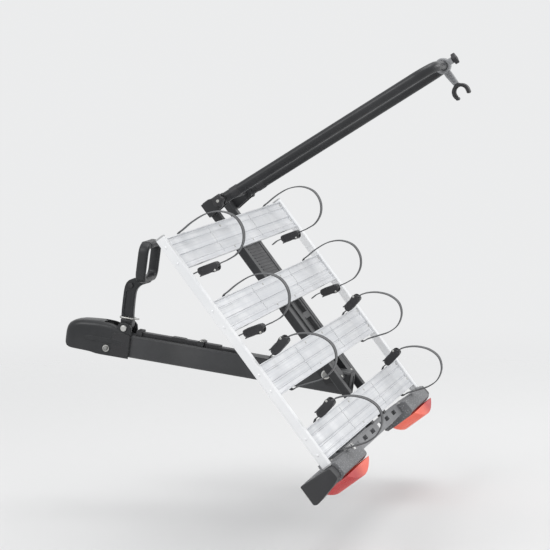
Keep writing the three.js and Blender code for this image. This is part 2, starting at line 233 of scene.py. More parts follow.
def cut(bm, *cutters):
    """bm with the cutters taken away."""
    base = _temp(bm, "t_base")
    tools = [_temp(c, "t_tool") for c in cutters]
    for t in tools:
        m = base.modifiers.new("cut", "BOOLEAN")
        m.operation, m.solver, m.object = "DIFFERENCE", "EXACT", t
    return _baked(base, *tools)


def thicken(bm, t):
    """An open surface given thickness t to the side that its normals don't face."""
    base = _temp(bm, "t_base")
    m = base.modifiers.new("wall", "SOLIDIFY")
    m.thickness, m.offset, m.use_even_offset = t, -1, True
    return _baked(base)


MATS = {}


def piece(name, bm, matrix, body, material, replaces=(), sharp=38):
    bm.transform(matrix)
    bmesh.ops.remove_doubles(bm, verts=bm.verts[:], dist=1e-6)
    bmesh.ops.recalc_face_normals(bm, faces=bm.faces[:])
    for f in bm.faces:
        f.smooth = True
    for e in bm.edges:
        if len(e.link_faces) != 2 or e.calc_face_angle(0) > sharp * D:
            e.smooth = False
    me = bpy.data.meshes.new(name)
    bm.to_mesh(me)
    bm.free()
    o = bpy.data.objects.new(name, me)
    bpy.context.collection.objects.link(o)
    me.materials.append(MATS[material])
    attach(o, body)
    if replaces:
        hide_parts(*replaces)
    return o


def smooth_path(points, n):
    """Centripetal Catmull-Rom through 2-D points, sampled evenly."""
    pts = [Vector(p) for p in points]
    ext = [pts[0] * 2 - pts[1]] + pts + [pts[-1] * 2 - pts[-2]]
    dense = []
    for i in range(1, len(ext) - 2):
        p0, p1, p2, p3 = ext[i - 1:i + 3]
        t0 = 0.0
        t1 = t0 + max((p1 - p0).length, 1e-6) ** 0.5
        t2 = t1 + max((p2 - p1).length, 1e-6) ** 0.5
        t3 = t2 + max((p3 - p2).length, 1e-6) ** 0.5
        for k in range(24):
            t = t1 + (t2 - t1) * k / 24
            a1 = p0 * ((t1 - t) / (t1 - t0)) + p1 * ((t - t0) / (t1 - t0))
            a2 = p1 * ((t2 - t) / (t2 - t1)) + p2 * ((t - t1) / (t2 - t1))
            a3 = p2 * ((t3 - t) / (t3 - t2)) + p3 * ((t - t2) / (t3 - t2))
            b1 = a1 * ((t2 - t) / (t2 - t0)) + a2 * ((t - t0) / (t2 - t0))
            b2 = a2 * ((t3 - t) / (t3 - t1)) + a3 * ((t - t1) / (t3 - t1))
            dense.append(b1 * ((t2 - t) / (t2 - t1)) + b2 * ((t - t1) / (t2 - t1)))
    dense.append(pts[-1])
    return resample(dense, n)


def resample(line, n):
    total = [0.0]
    for a, b in zip(line, line[1:]):
        total.append(total[-1] + (b - a).length)
    out, j = [], 0
    for k in range(n + 1):
        s = total[-1] * k / n
        while j < len(line) - 2 and total[j + 1] < s:
            j += 1
        span = max(total[j + 1] - total[j], 1e-9)
        out.append(line[j].lerp(line[j + 1], min(1.0, (s - total[j]) / span)))
    return out


# ---- finishes ----------------------------------------------------------------------------------
class Look:
    """A node material built up step by step; coordinates are object coordinates, in metres."""

    def __init__(self, name, base, dark=None, rough=(0.4, 0.5), metal=0.0, spec=0.5, coat=0.0, coat_rough=0.1):
        self.m = bpy.data.materials.new(name)
        self.m.use_nodes = True
        self.t = self.m.node_tree
        self.n, self.l = self.t.nodes, self.t.links
        self.b = self.n["Principled BSDF"]
        self.b.inputs["Metallic"].default_value = metal
        self.b.inputs["Specular IOR Level"].default_value = spec
        self.b.inputs["Coat Weight"].default_value = coat
        self.b.inputs["Coat Roughness"].default_value = coat_rough
        self.co = self.n.new("ShaderNodeTexCoord").outputs["Object"]
        cloud = self.noise(9.0, detail=4)
        self.colour = self.mix(self.ramp(cloud, 0.35, 0.7), dark or tuple(c * 0.8 for c in base), base)
        self.rough = self.remap(self.noise(26.0, detail=5), rough[0], rough[1])
        self.height = None

    def node(self, kind, **props):
        x = self.n.new(kind)
        for k, v in props.items():
            setattr(x, k, v)
        return x

    def noise(self, scale, detail=2.0, stretch=(1, 1, 1), rough=0.55, tilt=0.0):
        mp = self.node("ShaderNodeMapping")
        mp.inputs["Scale"].default_value = stretch
        mp.inputs["Rotation"].default_value = (0, tilt, 0)
        self.l.new(self.co, mp.inputs["Vector"])
        x = self.node("ShaderNodeTexNoise")
        x.inputs["Scale"].default_value = scale
        x.inputs["Detail"].default_value = detail
        x.inputs["Roughness"].default_value = rough
        self.l.new(mp.outputs[0], x.inputs["Vector"])
        return x.outputs["Fac"]

    def cells(self, scale, feature="F1", stretch=(1, 1, 1)):
        mp = self.node("ShaderNodeMapping")
        mp.inputs["Scale"].default_value = stretch
        self.l.new(self.co, mp.inputs["Vector"])
        x = self.node("ShaderNodeTexVoronoi", feature=feature)
        x.inputs["Scale"].default_value = scale
        self.l.new(mp.outputs[0], x.inputs["Vector"])
        return x.outputs["Distance"]

    def ramp(self, value, lo, hi):
        x = self.node("ShaderNodeMapRange", interpolation_type="SMOOTHSTEP")
        x.inputs["From Min"].default_value, x.inputs["From Max"].default_value = lo, hi
        self.l.new(value, x.inputs["Value"])
        return x.outputs["Result"]

    def remap(self, value, a, b, lo=0.3, hi=0.7):
        x = self.node("ShaderNodeMapRange")
        x.inputs["From Min"].default_value, x.inputs["From Max"].default_value = lo, hi
        x.inputs["To Min"].default_value, x.inputs["To Max"].default_value = a, b
        self.l.new(value, x.inputs["Value"])
        return x.outputs["Result"]

    def mix(self, fac, a, b):
        x = self.node("ShaderNodeMix", data_type="RGBA")
        self.l.new(fac, x.inputs[0]) if hasattr(fac, "node") else x.inputs[0].__setattr__("default_value", fac)
        for sock, c in ((x.inputs[6], a), (x.inputs[7], b)):
            if hasattr(c, "node"):
                self.l.new(c, sock)
            else:
                sock.default_value = (*c, 1)
        return x.outputs[2]

    def math(self, op, a, b):
        x = self.node("ShaderNodeMath", operation=op)
        for sock, v in ((x.inputs[0], a), (x.inputs[1], b)):
            if hasattr(v, "node"):
                self.l.new(v, sock)
            else:
                sock.default_value = v
        return x.outputs[0]

    def bump(self, value, distance, strength=1.0):
        x = self.node("ShaderNodeBump")
        x.inputs["Distance"].default_value = distance
        x.inputs["Strength"].default_value = strength
        self.l.new(value, x.inputs["Height"])
        if self.height is not None:
            self.l.new(self.height, x.inputs["Normal"])
        self.height = x.outputs["Normal"]

    def edges(self, colour, lo=0.80, hi=0.985, amount=0.7, radius=0.0011):
        """Wear on convex edges."""
        g = self.node("ShaderNodeNewGeometry")
        bev = self.node("ShaderNodeBevel", samples=6)
        bev.inputs["Radius"].default_value = radius
        dot = self.node("ShaderNodeVectorMath", operation="DOT_PRODUCT")
        self.l.new(bev.outputs["Normal"], dot.inputs[0])
        self.l.new(g.outputs["Normal"], dot.inputs[1])
        worn = self.math("SUBTRACT", 1.0, self.ramp(dot.outputs["Value"], lo, hi))
        worn = self.math("MULTIPLY", worn, self.ramp(self.noise(95.0, 5), 0.40, 0.66))
        worn = self.math("MULTIPLY", worn, amount)
        self.colour = self.mix(worn, self.colour, colour)

    def dust(self, colour, amount=0.12, scale=5.0):
        self.colour = self.mix(self.math("MULTIPLY", self.ramp(self.noise(scale, 6), 0.5, 0.8), amount), self.colour, colour)

    def done(self):
        self.l.new(self.colour, self.b.inputs["Base Color"])
        self.l.new(self.rough, self.b.inputs["Roughness"])
        if self.height is not None:
            self.l.new(self.height, self.b.inputs["Normal"])
        return self.m


def make_finishes():
    k = Look("powder_black", (0.028, 0.029, 0.031), (0.019, 0.020, 0.022), (0.30, 0.43), 0.0, 0.36)
    k.bump(k.noise(1500.0, 3), 0.00012, 0.55)          # orange peel of the powder coat
    k.bump(k.cells(900.0), 0.00005, 0.4)
    k.edges((0.20, 0.20, 0.205), amount=0.65)
    k.dust((0.12, 0.117, 0.113), 0.08)
    MATS["steel"] = k.done()

    k = Look("bar_black", (0.046, 0.047, 0.050), (0.036, 0.037, 0.039), (0.36, 0.48), 0.0, 0.42)
    k.bump(k.noise(1500.0, 3), 0.00012, 0.5)
    k.edges((0.2, 0.2, 0.2), amount=0.5)
    k.dust((0.18, 0.175, 0.17), 0.12)
    MATS["bar"] = k.done()

    k = Look("anodised", (0.735, 0.742, 0.755), (0.63, 0.64, 0.66), (0.42, 0.56), 0.5, 0.5)
    lines = k.noise(1.0, 4, (2600, 3.0, 2600), 0.6)     # die lines run the length of the extrusion
    k.bump(lines, 0.00003, 0.35)
    k.rough = k.math("ADD", k.rough, k.remap(lines, -0.05, 0.06))
    streak = k.noise(1.0, 3, (260, 1.2, 260), 0.5)
    k.colour = k.mix(k.math("MULTIPLY", k.ramp(streak, 0.47, 0.66), 0.5), k.colour, (0.56, 0.58, 0.605))
    scuff = k.noise(1.0, 6, (420, 30, 420), 0.7)
    k.colour = k.mix(k.math("MULTIPLY", k.ramp(scuff, 0.62, 0.74), 0.18), k.colour, (0.5, 0.515, 0.53))
    k.edges((0.93, 0.94, 0.95), amount=0.5, radius=0.0006)
    MATS["alu"] = k.done()

    k = Look("rail_anodised", (0.90, 0.905, 0.915), (0.84, 0.85, 0.865), (0.30, 0.40), 0.45, 0.5)
    lines = k.noise(1.0, 4, (60, 1400, 1400), 0.6, 52.63 * D)
    k.bump(lines, 0.00005, 0.4)
    MATS["rail"] = k.done()

    k = Look("zinc_plate", (0.60, 0.60, 0.585), (0.46, 0.46, 0.44), (0.24, 0.40), 1.0)
    k.bump(k.noise(900.0, 4), 0.00006, 0.5)
    k.colour = k.mix(k.math("MULTIPLY", k.ramp(k.noise(60.0, 6), 0.5, 0.75), 0.35), k.colour, (0.62, 0.58, 0.46))
    MATS["zinc"] = k.done()

    k = Look("cast_zinc", (0.34, 0.34, 0.33), (0.24, 0.24, 0.235), (0.45, 0.62), 0.9)
    k.bump(k.noise(500.0, 6), 0.0003, 0.6)
    MATS["cast"] = k.done()

    k = Look("moulded_black", (0.030, 0.030, 0.033), (0.022, 0.022, 0.024), (0.42, 0.55), 0.0, 0.5)
    k.bump(k.cells(1500.0), 0.00006, 0.6)               # spark-eroded grain
    k.bump(k.noise(300.0, 3), 0.00004, 0.3)
    k.edges((0.11, 0.11, 0.115), amount=0.4)
    MATS["plastic"] = k.done()

    k = Look("moulded_gloss_black", (0.020, 0.020, 0.022), (0.015, 0.015, 0.017), (0.20, 0.32), 0.0, 0.5)
    k.bump(k.noise(400.0, 3), 0.00003, 0.3)
    MATS["gloss"] = k.done()

    # the paddle is a lighter grey than the black buckle body: painted highlight on the buckle's upper part
    k = Look("paddle_grey", (0.075, 0.077, 0.082), (0.060, 0.062, 0.066), (0.22, 0.34), 0.0, 0.55)
    k.bump(k.noise(600.0, 3), 0.00004, 0.4)
    k.edges((0.2, 0.2, 0.205), amount=0.4)
    MATS["paddle"] = k.done()

    k = Look("lamp_grey", (0.165, 0.167, 0.174), (0.140, 0.142, 0.149), (0.48, 0.6), 0.0, 0.5)
    dots = k.cells(175.0)                               # raised dots over the housing
    k.bump(k.math("SUBTRACT", 1.0, k.ramp(dots, 0.1, 0.5)), 0.0008, 0.9)
    k.colour = k.mix(k.math("MULTIPLY", k.math("SUBTRACT", 1.0, k.ramp(dots, 0.15, 0.40)), 0.8), k.colour, (0.37, 0.375, 0.385))
    MATS["lamp"] = k.done()

    k = Look("board_grey", (0.235, 0.238, 0.246), (0.19, 0.193, 0.20), (0.45, 0.58), 0.0, 0.5)
    k.bump(k.cells(1300.0), 0.00007, 0.6)
    k.edges((0.36, 0.36, 0.37), amount=0.4)
    MATS["board"] = k.done()

    k = Look("plate_ground", (0.46, 0.465, 0.47), (0.40, 0.405, 0.41), (0.35, 0.5), 0.0, 0.5)
    k.bump(k.noise(700.0, 3), 0.00005, 0.4)
    MATS["ground"] = k.done()

    k = Look("lens_red", (0.83, 0.135, 0.085), (0.76, 0.10, 0.065), (0.26, 0.36), 0.0, 0.12, 0.08, 0.16)
    prisms = k.cells(300.0, "F1")
    k.bump(k.ramp(prisms, 0.0, 0.6), 0.0006, 0.35)
    k.colour = k.mix(k.math("MULTIPLY", k.ramp(prisms, 0.25, 0.6), 0.45), k.colour, (0.88, 0.17, 0.095))
    # the lens darkens to deep red towards its outer ends along Y: painted shade on the lens's far ends
    sep = k.node("ShaderNodeSeparateXYZ")
    k.l.new(k.co, sep.inputs[0])
    painted_shade_far = k.math("ABSOLUTE", k.math("ADD", sep.outputs["Y"], 0.08), 0.0)
    k.colour = k.mix(k.math("MULTIPLY", k.ramp(painted_shade_far, 0.42, 0.53), 0.92), k.colour, (0.43, 0.013, 0.020))
    k.b.inputs["Transmission Weight"].default_value = 0.05
    # the lens emits faintly in its own colour: painted glow, the lamp is not switched on
    k.b.inputs["Emission Strength"].default_value = 0.16
    k.l.new(k.colour, k.b.inputs["Emission Color"])
    MATS["lens"] = k.done()

    k = Look("strap_band", (0.105, 0.107, 0.112), (0.080, 0.082, 0.086), (0.42, 0.55), 0.0, 0.5)
    k.bump(k.noise(1100.0, 3), 0.00007, 0.5)
    k.edges((0.22, 0.22, 0.225), amount=0.5)
    MATS["strap"] = k.done()

    k = Look("rubber", (0.028, 0.028, 0.029), (0.021, 0.021, 0.022), (0.68, 0.82), 0.0, 0.35)
    k.bump(k.noise(1400.0, 4), 0.00015, 0.7)
    k.dust((0.10, 0.098, 0.095), 0.18, 30.0)
    MATS["rubber"] = k.done()

    k = Look("white_clip", (0.78, 0.78, 0.77), (0.70, 0.70, 0.69), (0.4, 0.5), 0.0, 0.5)
    k.bump(k.cells(1200.0), 0.00005, 0.5)
    MATS["white"] = k.done()

    k = Look("holder_grey", (0.33, 0.335, 0.345), (0.27, 0.275, 0.285), (0.36, 0.5), 0.35, 0.5)
    k.bump(k.noise(900.0, 3), 0.00008, 0.5)
    k.edges((0.5, 0.5, 0.5), amount=0.4)
    MATS["holder"] = k.done()


make_finishes()


def keep(node, material, bevel=0.0, segments=2, angle=25):
    """A CAD node that stays, with a finish and softened edges."""
    o = NODES[node]
    if not o.data.materials:
        o.data.materials.append(MATS[material])
    for s in o.material_slots:
        s.material = MATS[material]
    if bevel:
        m = o.modifiers.new("edge", "BEVEL")
        m.width, m.segments, m.limit_method, m.angle_limit = bevel / 1000, segments, "ANGLE", angle * D
        m.harden_normals = False
    return o


# ---- fasteners -----------------------------------------------------------------------------------
def hex_head(r, z0, z1):
    pts = [(r * math.cos(k * 60 * D), r * math.sin(k * 60 * D)) for k in range(6)]
    return prism(pts, z0, z1, "z", min(1.0, r * 0.09), 2, 40)


def washer(r, hole, z0, z1):
    return lathe([(hole, z0), (r - 0.3, z0), (r, z0 + 0.3), (r, z1 - 0.3), (r - 0.3, z1), (hole, z1)], 44, True)


def cross_bolt(x, z, shank, flat, washer_r, hex_r, reach):
    """A bolt along Y: washers on both faces, a head to the left and a nut with the bolt's end to the right."""
    rings, parts = [], [along_y(lathe([(0, -reach + 1), (shank, -reach + 1), (shank, reach - 2.5), (shank - 1, reach - 0.3), (0, reach - 0.3)], 32), x, 0, z)]
    for flip in (True, False):
        rings.append(along_y(washer(washer_r, shank + 0.1, flat, flat + 1.8), x, 0, z, flip))
        parts.append(along_y(hex_head(hex_r, flat + 1.8, reach - (0 if flip else 2.2)), x, 0, z, flip))
    parts.append(along_y(lathe([(0, reach - 0.6), (hex_r * 0.55, reach - 0.6), (hex_r * 0.62, reach), (hex_r * 0.66, reach),
                                (hex_r * 0.72, reach - 0.4), (hex_r * 0.72, reach - 1), (0, reach - 1)], 32), x, 0, z, True))
    return merged(*rings), merged(*parts)


def screw(r, h):
    """A button head with a hex socket, standing on Z 0."""
    head = lathe([(0, 0), (r, 0), (r, h * 0.35), (r * 0.93, h * 0.7), (r * 0.75, h * 0.93), (r * 0.52, h), (0, h)], 28)
    pts = [(r * 0.38 * math.cos(k * 60 * D), r * 0.38 * math.sin(k * 60 * D)) for k in range(6)]
    return cut(head, prism(pts, h * 0.35, h + 1, "z"))


def rivet(r, h):
    return lathe([(0, -0.2), (r, -0.2), (r, h * 0.25), (r * 0.9, h * 0.62), (r * 0.62, h * 0.9), (r * 0.3, h),
                  (r * 0.3, h * 0.8), (0, h * 0.75)], 24)


# ---- coupler head ----------------------------------------------------------------------------------
def coupler():
    rows = [(-38.6, 42, 24, 12), (-37.8, 50, 15, 20), (-35, 57, 7, 26), (-30, 63.5, 1, 30.5), (-22, 69.2, -2.2, 34),
            (-12, 73.4, -3.2, 36.2), (4, 77.4, -3.6, 37), (22, 79.4, -4, 37), (40, 81, -4.8, 37), (58, 82, -7.6, 37),
            (72, 82, -8, 37), (86, 81.3, -8, 37), (96, 79.6, -8, 37), (108, 76.2, -8, 37), (122, 71.5, -8, 37),
            (136, 66.4, -8, 37), (146, 62.8, -8, 37), (150, 61.2, -8, 37)]
    bm = bmesh.new()
    grid = []
    for s, top, bottom, w in rows:
        r = min(17.0, (top - bottom) * 0.42, w * 0.75)
        half = [(w, bottom + (top - r - bottom) * k / 4) for k in range(4)]
        half += [(w - r + r * math.cos(a * D), top - r + r * math.sin(a * D)) for a in (0, 15, 30, 45, 60, 75, 90)]
        half += [((w - r) * 0.5, top + 0.5)]
        line = [(y, z) for y, z in half] + [(0, top + 0.7)] + [(-y, z) for y, z in half[::-1]]
        grid.append([bm.verts.new((s, y, z)) for y, z in line])
    for a, b in zip(grid, grid[1:]):
        for k in range(len(a) - 1):
            bm.faces.new((a[k], b[k], b[k + 1], a[k + 1]))
    bm.faces.new(grid[0])
    bmesh.ops.recalc_face_normals(bm, faces=bm.faces[:])
    up = [f for f in bm.faces if f.calc_center_median().z > 78]
    if up and sum(f.normal.z for f in up) < 0:
        bmesh.ops.reverse_faces(bm, faces=bm.faces[:])
    shell = thicken(bm, 3.2)
    lx, lz = 128.0, 74.0
    shell = cut(shell, prism([(102, 50), (160, 50), (160, 100), (14, 100), (30, 88), (102, 69.5)], -24.8, 24.8), along_y(lathe([(0, -60), (5.3, -60), (5.3, 60), (0, 60)], 24), lx, 0, lz))
    piece("coupler_shell", shell, ARM, "root", "steel", ("coupler_housing",))
    ear = [(106, 58), (152, 54), (147, 79), (140, 86.5), (128, 89), (116, 86.5), (109.5, 79)]
    ears = [prism(ear, 25.2, 34.5, "y", 1.6, 3), prism(ear, -34.5, -25.2, "y", 1.6, 3)]
    # pressed rib along each side
    for sgn in (-1, 1):
        rib = rounded(20, 132, 26, 40, 6.5, 6)
        ears.append(prism(rib, min(sgn * 36.4, sgn * 38.2), max(sgn * 36.4, sgn * 38.2), "y", 0.9, 3))
    piece("coupler_ears", merged(*ears), ARM, "root", "steel")
    cheeks = [prism(rounded(98, 149, -7.5, 58, 4, 4), min(sgn * 36.5, sgn * 38.0), max(sgn * 36.5, sgn * 38.0), "y", 0.6, 2) for sgn in (-1, 1)]
    piece("coupler_cheeks", merged(*cheeks), ARM, "root", "gloss")
    # ball cup: a dome cut off square behind, with a seat ring
    prof = [(25.7 * math.cos(a * D), 25.7 * math.sin(a * D)) for a in range(8, 91, 6)]
    prof = [(25.6, 3.2)] + prof[:-1] + [(0, 25.7)]
    outer = [(0, 29.4)] + [(29.4 * math.cos(a * D), 29.4 * math.sin(a * D)) for a in range(84, 7, -6)] + [(29.6, 3.2)]
    dome = lathe(prof + outer, 48, True)
    dome = cut(dome, slab(18, 60, -60, 60, -20, 60))
    seat = [at(lathe([(4, 29), (9, 29), (9, 55), (4, 55)], 24, True), shift(0, 0, 0)),
            slab(-14, 14, -27, 27, 44, 52, 1.5), slab(-6, 6, -29, 29, 30, 46, 1.5)]
    piece("ball_cup_liner", merged(dome, *seat), ARM, "root", "cast", ("ball_cup",))
    keep("clamp_jaw", "cast", 1.2, 3)
    rings, bolt = cross_bolt(85, 11.5, 5.2, 37.7, 9.5, 7.0, 45.2)
    piece("head_cross_bolt", bolt, ARM, "root", "cast", ("head_bolt",))
    piece("head_bolt_washers", rings, ARM, "root", "zinc")
    pin = [along_y(lathe([(0, -41), (5.5, -41), (8.2, -40), (9, -38.6), (9, -37.6), (5, -37.6), (5, 37.6), (9, 37.6), (9, 38.6),
                          (8.2, 40), (5.5, 41), (0, 41)], 36), lx, 0, lz)]
    piece("lever_pivot_pin", merged(*pin), ARM, "root", "zinc", ("lever_pin",))


def lever():
    lx, lz = 128.0, 74.0
    front = [(112, 80), (109, 100), (107.6, 120), (107.2, 150), (107.4, 172), (108.6, 186), (112, 196), (118, 203.6), (128, 209.5), (141, 214.8), (152, 221)]
    back = [(177, 221.5), (177.4, 206), (166, 200.6), (155, 195.4), (148, 189), (143, 181), (140.4, 171), (140, 150), (140.8, 122), (142.4, 100), (143.4, 80)]
    stem = prism(front + back, -10, 10, "y", 2.6, 3, 30)
    # pressed channel down both faces of the stem
    wells = [prism(rounded(115, 133, 104, 178, 8, 6), y0, y1, "y") for y0, y1 in ((-14, -7.4), (7.4, 14))]
    stem = cut(stem, *wells)
    neck = prism([(112, 74), (144, 74), (142.6, 97), (110.4, 97)], -19.5, 19.5, "y", 4, 3)
    eye = along_y(lathe([(5.4, -23.4), (11.2, -23.4), (12.4, -22.2), (12.4, 22.2), (11.2, 23.4), (5.4, 23.4)], 40, True), lx, 0, lz)
    loop = [(164.0, y, z) for y, z in rounded(-59.6, 59.6, 214.5, 310.5, 22, 9)]
    dense = []
    for a, b in zip(loop, loop[1:] + loop[:1]):
        steps = max(1, int(math.dist(a, b) / 12))
        dense += [tuple(a[j] + (b[j] - a[j]) * k / steps for j in range(3)) for k in range(steps)]
    stirrup = sweep(dense, (1, 0, 0), oval(13.8, 8.2, 24, 3.4), closed=True)
    piece("clamp_lever_arm", merged(stem, neck, eye, stirrup), ARM, "clamp_lever", "steel", ("clamp_lever",))
    path = [(164.0, -40 + k * 80 / 120, 310.5) for k in range(121)]
    grip = sweep(path, (1, 0, 0), oval(14.8, 9.3, 28, 3.0),
                 shape=lambda i, sec: [(u * g, w * g) for u, w in sec for g in [0.985 + 0.035 * (0.5 - 0.5 * math.cos(i / 120 * 2 * math.pi * 20)) if 4 < i < 116 else 0.97 + 0.02 * min(i, 120 - i)]])
    piece("lever_grip", grip, ARM, "clamp_lever", "gloss")
    ring = [(x, y, 99.5) for x, y in rounded(106.4, 145.4, -14.5, 14.5, 8, 6)]
    piece("lever_lock_ring", merged(sweep(ring, (0, 0, 1), oval(2.6, 2.0, 12, 2.4), closed=True),
                                    slab(141, 158, -6, 6, 97.6, 101.4, 1.2)), ARM, "clamp_lever", "zinc")
    piece("lever_lock_button", along_y(lathe([(0, 10), (7.5, 10), (7.5, 13), (6.6, 14.6), (4, 15.2), (0, 15.2)], 32), 126, 0, 190, True),
          ARM, "clamp_lever", "plastic")


def drawbar():
    keep("drawbar", "bar", 2.2, 4)
    plug = cut(prism(rounded(-29.6, 29.6, -4.6, 56.1, 5, 5), 765, 769.5, "x", 1.6, 3), prism(rounded(-17, 17, 8, 44, 4, 4), 767.6, 772, "x"))
    piece("drawbar_end_plug", plug, ARM, "root", "plastic")
    keep("rod_guide", "steel", 0.8, 2)
    # release rod: a flat bar with rolled edges, and ribs across its pull tab
    keep("release_rod", "plastic", 0.9, 3)
    ribs = [slab(162.5 + 3.4 * k, 164.3 + 3.4 * k, -15.5, 15.5, 70.8, 72.2, 0.4) for k in range(4)]
    piece("release_tab_ribs", merged(*ribs), ARM, "release_rod", "plastic")
    screws = [at(screw(4.2, 2.6), shift(x, y, 70.5)) for x, y in ((344, -15.5), (344, 15.5))]
    piece("rod_guide_screws", merged(*screws), ARM, "root", "zinc")


def platform():
    for n in ("frame_member_left", "frame_member_right"):
        keep(n, "steel", 1.6, 3)
    for n in ("pivot_plate_left", "pivot_plate_right"):
        keep(n, "steel", 1.0, 3)
    keep("infill_plate", "plastic", 0.8, 2)
    keep("slotted_plate", "steel", 1.0, 3)
    keep("mast_bracket_left", "steel", 0.9, 2)
    keep("mast_bracket_right", "steel", 0.9, 2)
    rings, bolt = cross_bolt(445, -49, 6, 37.6, 12.5, 9.2, 46)
    piece("tilt_cross_bolt", bolt, DECK, "platform", "cast", ("tilt_bolt",))
    piece("tilt_bolt_washers", rings, DECK, "platform", "zinc")
    # member end plugs
    ends = []
    for sgn in (-1, 1):
        a, b = sorted((sgn * 70.3, sgn * 99.7))
        for x0, x1 in ((-115, -112), (621, 624)):
            ends.append(prism(rounded(a, b, -30, -9.6, 3, 4), x0, x1, "x", 1.0, 3))
    piece("member_end_plugs", merged(*ends), DECK, "platform", "plastic")
    # ribs over the infill plate, as on a moulded tread
    ribs = [slab(34 + 9.5 * k, 38 + 9.5 * k, -64, 64, -11.1, -9.4, 0.6) for k in range(13)]
    piece("infill_tread", merged(*ribs), DECK, "platform", "plastic")
    holes = []
    for x0, x1, y0, y1 in ((234, 274, 0, 50), (292, 336, 0, 50), (234, 336, -54, -40)):
        outer = [(x, y, -11.0) for x, y in rounded(x0 - 2.5, x1 + 2.5, y0 - 2.5, y1 + 2.5, 4, 4)]
        holes.append(sweep(outer, (0, 0, 1), oval(1.4, 2.0, 8, 2.2), closed=True))
    piece("slot_beads", merged(*holes), DECK, "platform", "steel")
    # screws that hold the plates and the pivot flanges
    sc = []
    for x in (40, 148, 222, 342, 416, 474):
        for y in (-62, 62):
            z = -11.0 if x < 400 else -9.6
            sc.append(at(screw(4.0, 2.4), shift(x, y, z)))
    piece("plate_screws", merged(*sc), DECK, "platform", "zinc")
    # clamp knob on the left member's outer side
    outline = []
    for k in range(60):
        w = 2 * math.pi * k / 60
        r = 8.6 + 0.9 * math.cos(6 * w)
        outline.append((r * math.cos(w), r * math.sin(w)))
    knob = merged(prism(outline, 4, 13, "z", 1.4, 3, 40), lathe([(0, -0.2), (5, -0.2), (5, 4.5), (0, 4.5)], 28))
    piece("member_knob", along_y(knob, 243, -100, -19, True), DECK, "platform", "plastic")


def rails_and_trays():
    for n in ("side_rail_left", "side_rail_right"):
        keep(n, "rail", 1.5, 4)
    caps = []
    for u0 in (-612.4, 590.4):
        for x0, x1 in ((-54.5, -50), (626.5, 631)):
            caps.append(prism(rounded(u0 + 0.2, u0 + 21.8, -19.8, 1.8, 2.6, 4), x0, x1, "x", 1.3, 3))
    piece("rail_end_caps", merged(*caps), TRAY, "platform", "ground")
    h = 44.35
    top = [(-h, 2), (-h + 2.4, 2), (-h + 3.4, -4), (-25, -4), (-24, -6), (-21, -6), (-20, -4), (5.5, -4), (6.5, -7), (11, -7),
           (12, -4), (26, -4), (27, -2.5), (30, -2.5), (31, -4), (h - 3.4, -4), (h - 2.4, 2), (h, 2)]
    under = [(h, -8.6), (h - 5, -8.6), (h - 5, -6.3), (20, -6.3), (19.6, -8.6), (-1.6, -8.6), (-2, -6.3), (-14, -6.3), (-14.5, -8.6), (-30.5, -8.6),
             (-31, -6.3), (-h + 5, -6.3), (-h + 5, -8.6), (-h, -8.6)]
    for i in range(4):
        bm = prism(top + under, -590, 590, "y", 0.35, 2, 30)
        slots = [prism(rounded(-36, 36, s * 210 - 2, s * 210 + 2, 1.9, 4), -20, 10, "z") for s in (-1, 1)]
        bm = cut(bm, *slots)
        piece(f"tray_{i + 1}", bm, TRAY @ shift(i * 190, 0, 0), "platform", "alu", (f"wheel_tray_{i + 1}",), 25)
        rv = []
        for s in (-1, 1):
            for x in (-33, 20):
                rv.append(at(rivet(3.4, 1.7), shift(x, s * 579, -4)))
                rv.append(at(rivet(3.4, 1.7), shift(x if x < 0 else 33, s * 100, -4)))
        piece(f"tray_{i + 1}_rivets", merged(*rv), TRAY @ shift(i * 190, 0, 0), "platform", "zinc")
    # rivets through the side rails' outer faces
    rv = []
    for u, flip in ((-612.4, True), (612.4, False)):
        for i in range(4):
            for x in (-24, 24):
                rv.append(along_y(rivet(3.4, 1.7), i * 190 + x, u, -9, flip))
    piece("rail_rivets", merged(*rv), TRAY, "platform", "rail")


def straps():
    rear = [(-32, -11.6), (-44, -11.6), (-49.2, -8), (-49.8, 6), (-51, 40), (-45, 82), (-26, 115), (4, 134), (38, 132), (66, 112), (79, 82), (77, 52)]
    front = [(32, -11.6), (44, -11.6), (49.2, -8), (51, 6), (61, 36), (71, 68), (70, 100), (52, 128), (22, 141), (-10, 133), (-38, 110), (-55, 84), (-61.5, 66)]
    for i, tag, u in STRAPS:
        ax = REAR_AXIS if i < 2 else FRONT_AXIS
        a, b = Vector(ax[0]), Vector(ax[1])
        loop = smooth_path(rear if i < 2 else front, 200)
        if i < 2:
            tail = [a.lerp(b, 0.98), a.copy(), Vector((53, -40)), Vector((54, -56))]
        else:
            tail = [a.lerp(b, 0.98), a.copy(), Vector((-49.4, -5)), Vector((-45.5, -11.6)), Vector((-32, -11.6))]
        line = resample(loop + tail, 300)
        n = len(line)
        start = int(n * 0.42)

        def section(k, sec, start=start, n=n):
            t = 1.55 if k < start or (k - start) % 3 == 0 else 0.75
            if k >= n - 3:
                t = 0.9
            body = [(-11, -0.5), (-10.3, -1.25), (-8.2, -1.5), (-7.4, -0.85), (7.4, -0.85), (8.2, -1.5), (10.3, -1.25), (11, -0.5),
                    (11, 0.5), (10.3, 1.25), (8.2, 1.5), (7.0, t), (-7.0, t), (-8.2, 1.5), (-10.3, 1.25), (-11, 0.5)]
            trim = 1.0 if k < n - 4 else 1.0 - 0.12 * (k - (n - 5))
            return [(y * trim, w) for y, w in body]

        path = [(p[0], 0.0, p[1]) for p in line]
        band = sweep(path, (0, 1, 0), [(0, 0)] * 16, shape=section)
        piece(f"strap_band_{i + 1}_{tag}", band, TRAY @ shift(i * 190, u, 0), "platform", "strap",
              (f"wheel_strap_{i + 1}_{tag}",), 50)
        foot = merged(at(screw(4.4, 2.4), shift(-37 if i < 2 else 37, 0, -13.2) @ turn(180, "X")))
        piece(f"strap_anchor_{i + 1}_{tag}", foot, TRAY @ shift(i * 190, u, 0), "platform", "zinc")


